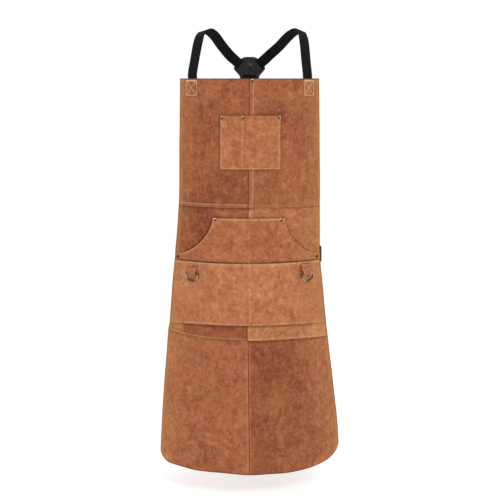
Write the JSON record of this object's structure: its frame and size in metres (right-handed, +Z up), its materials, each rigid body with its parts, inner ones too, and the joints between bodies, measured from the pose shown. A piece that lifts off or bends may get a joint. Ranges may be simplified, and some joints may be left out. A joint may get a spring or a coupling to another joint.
{
  "type": "welding apron",
  "caption": "Split-leather welding apron with bib, chest, lap and tool pockets, side D-rings, a cross-back webbing harness and an adjustable waist belt.",
  "frame": {"origin": "centre of the bottom of the bounding box, at hem height", "axes": "+Z up, apron front faces -Y, +X to the right as seen from the front"},
  "size_m": [0.502, 0.264, 1.209],
  "materials": {
    "leather_tan": "split suede, mottled",
    "leather_light": "split suede, mottled",
    "leather_dark": "split suede, mottled",
    "webbing": "woven polypropylene webbing",
    "black_plastic": "fine moulded texture",
    "antique_brass": "dark antique plating, worn on the edges",
    "thread": "twisted heat-resistant thread"
  },
  "bodies": {
    "apron": {"bib_panel_left": "leather_tan", "bib_panel_right": "leather_light", "waist_panel_left": "leather_dark", "waist_panel_right": "leather_light", "chest_pocket": "leather_light", "lap_pocket": "leather_light", "tool_pocket": "leather_tan", "d_ring_tab_left": "leather_dark", "d_ring_tab_right": "leather_tan", "strap_anchor_left": "webbing", "strap_anchor_right": "webbing", "strap_patch_left": "leather_dark", "strap_patch_right": "leather_dark", "strap_stitching_left": "thread", "strap_stitching_right": "thread", "chest_pocket_rivets": "antique_brass", "lap_pocket_rivets": "antique_brass", "side_rivets": "antique_brass", "bib_centre_rivet": "antique_brass", "rivet_burrs": "antique_brass", "belt_anchor_left": "webbing", "belt_anchor_right": "webbing", "chest_pocket_stitching": "thread", "lap_pocket_stitching": "thread", "tool_pocket_stitching": "thread", "seam_stitching": "thread"},
    "skirt": {"skirt_panel_left": "leather_light", "skirt_panel_right": "leather_tan", "skirt_stitching": "thread"},
    "ring_left": {"d_ring_left": "antique_brass"},
    "ring_right": {"d_ring_right": "antique_brass"},
    "harness": {"shoulder_strap_left": "webbing", "shoulder_strap_right": "webbing", "crosspatch": "black_plastic"},
    "back_strap": {"back_strap": "webbing"},
    "slider": {"strap_slider": "black_plastic"},
    "belt_left": {"belt_left": "webbing", "buckle_male": "black_plastic"},
    "belt_right": {"belt_right": "webbing", "buckle_female": "black_plastic"}
  },
  "joints": [
    {"name": "skirt_swing", "type": "hinge", "parent": "apron", "child": "skirt", "pos_m": [0, -0.12175, 0.361], "axis": [-1, 0, 0], "range_deg": [0, 35]},
    {"name": "ring_left_swing", "type": "hinge", "parent": "apron", "child": "ring_left", "pos_m": [-0.15629, -0.09199, 0.537], "axis": [-0.8671, 0.4982, 0], "range_deg": [0, 115]},
    {"name": "ring_right_swing", "type": "hinge", "parent": "apron", "child": "ring_right", "pos_m": [0.15629, -0.09199, 0.537], "axis": [-0.8671, -0.4982, 0], "range_deg": [0, 115]},
    {"name": "harness_swing", "type": "hinge", "parent": "apron", "child": "harness", "pos_m": [0, -0.078, 1.077], "axis": [1, 0, 0], "range_deg": [-10, 100]},
    {"name": "back_strap_swing", "type": "hinge", "parent": "harness", "child": "back_strap", "pos_m": [0, 0.12, 1.07], "axis": [1, 0, 0], "range_deg": [-10, 60]},
    {"name": "slider_travel", "type": "slide", "parent": "back_strap", "child": "slider", "axis": [0, 0, 1], "range_m": [-0.12, 0.12]},
    {"name": "belt_left_swing", "type": "hinge", "parent": "apron", "child": "belt_left", "pos_m": [-0.2015, -0.042, 0.578], "axis": [0, 0, 1], "range_deg": [0, 60]},
    {"name": "belt_right_swing", "type": "hinge", "parent": "apron", "child": "belt_right", "pos_m": [0.2015, -0.042, 0.578], "axis": [0, 0, -1], "range_deg": [0, 60]}
  ]
}
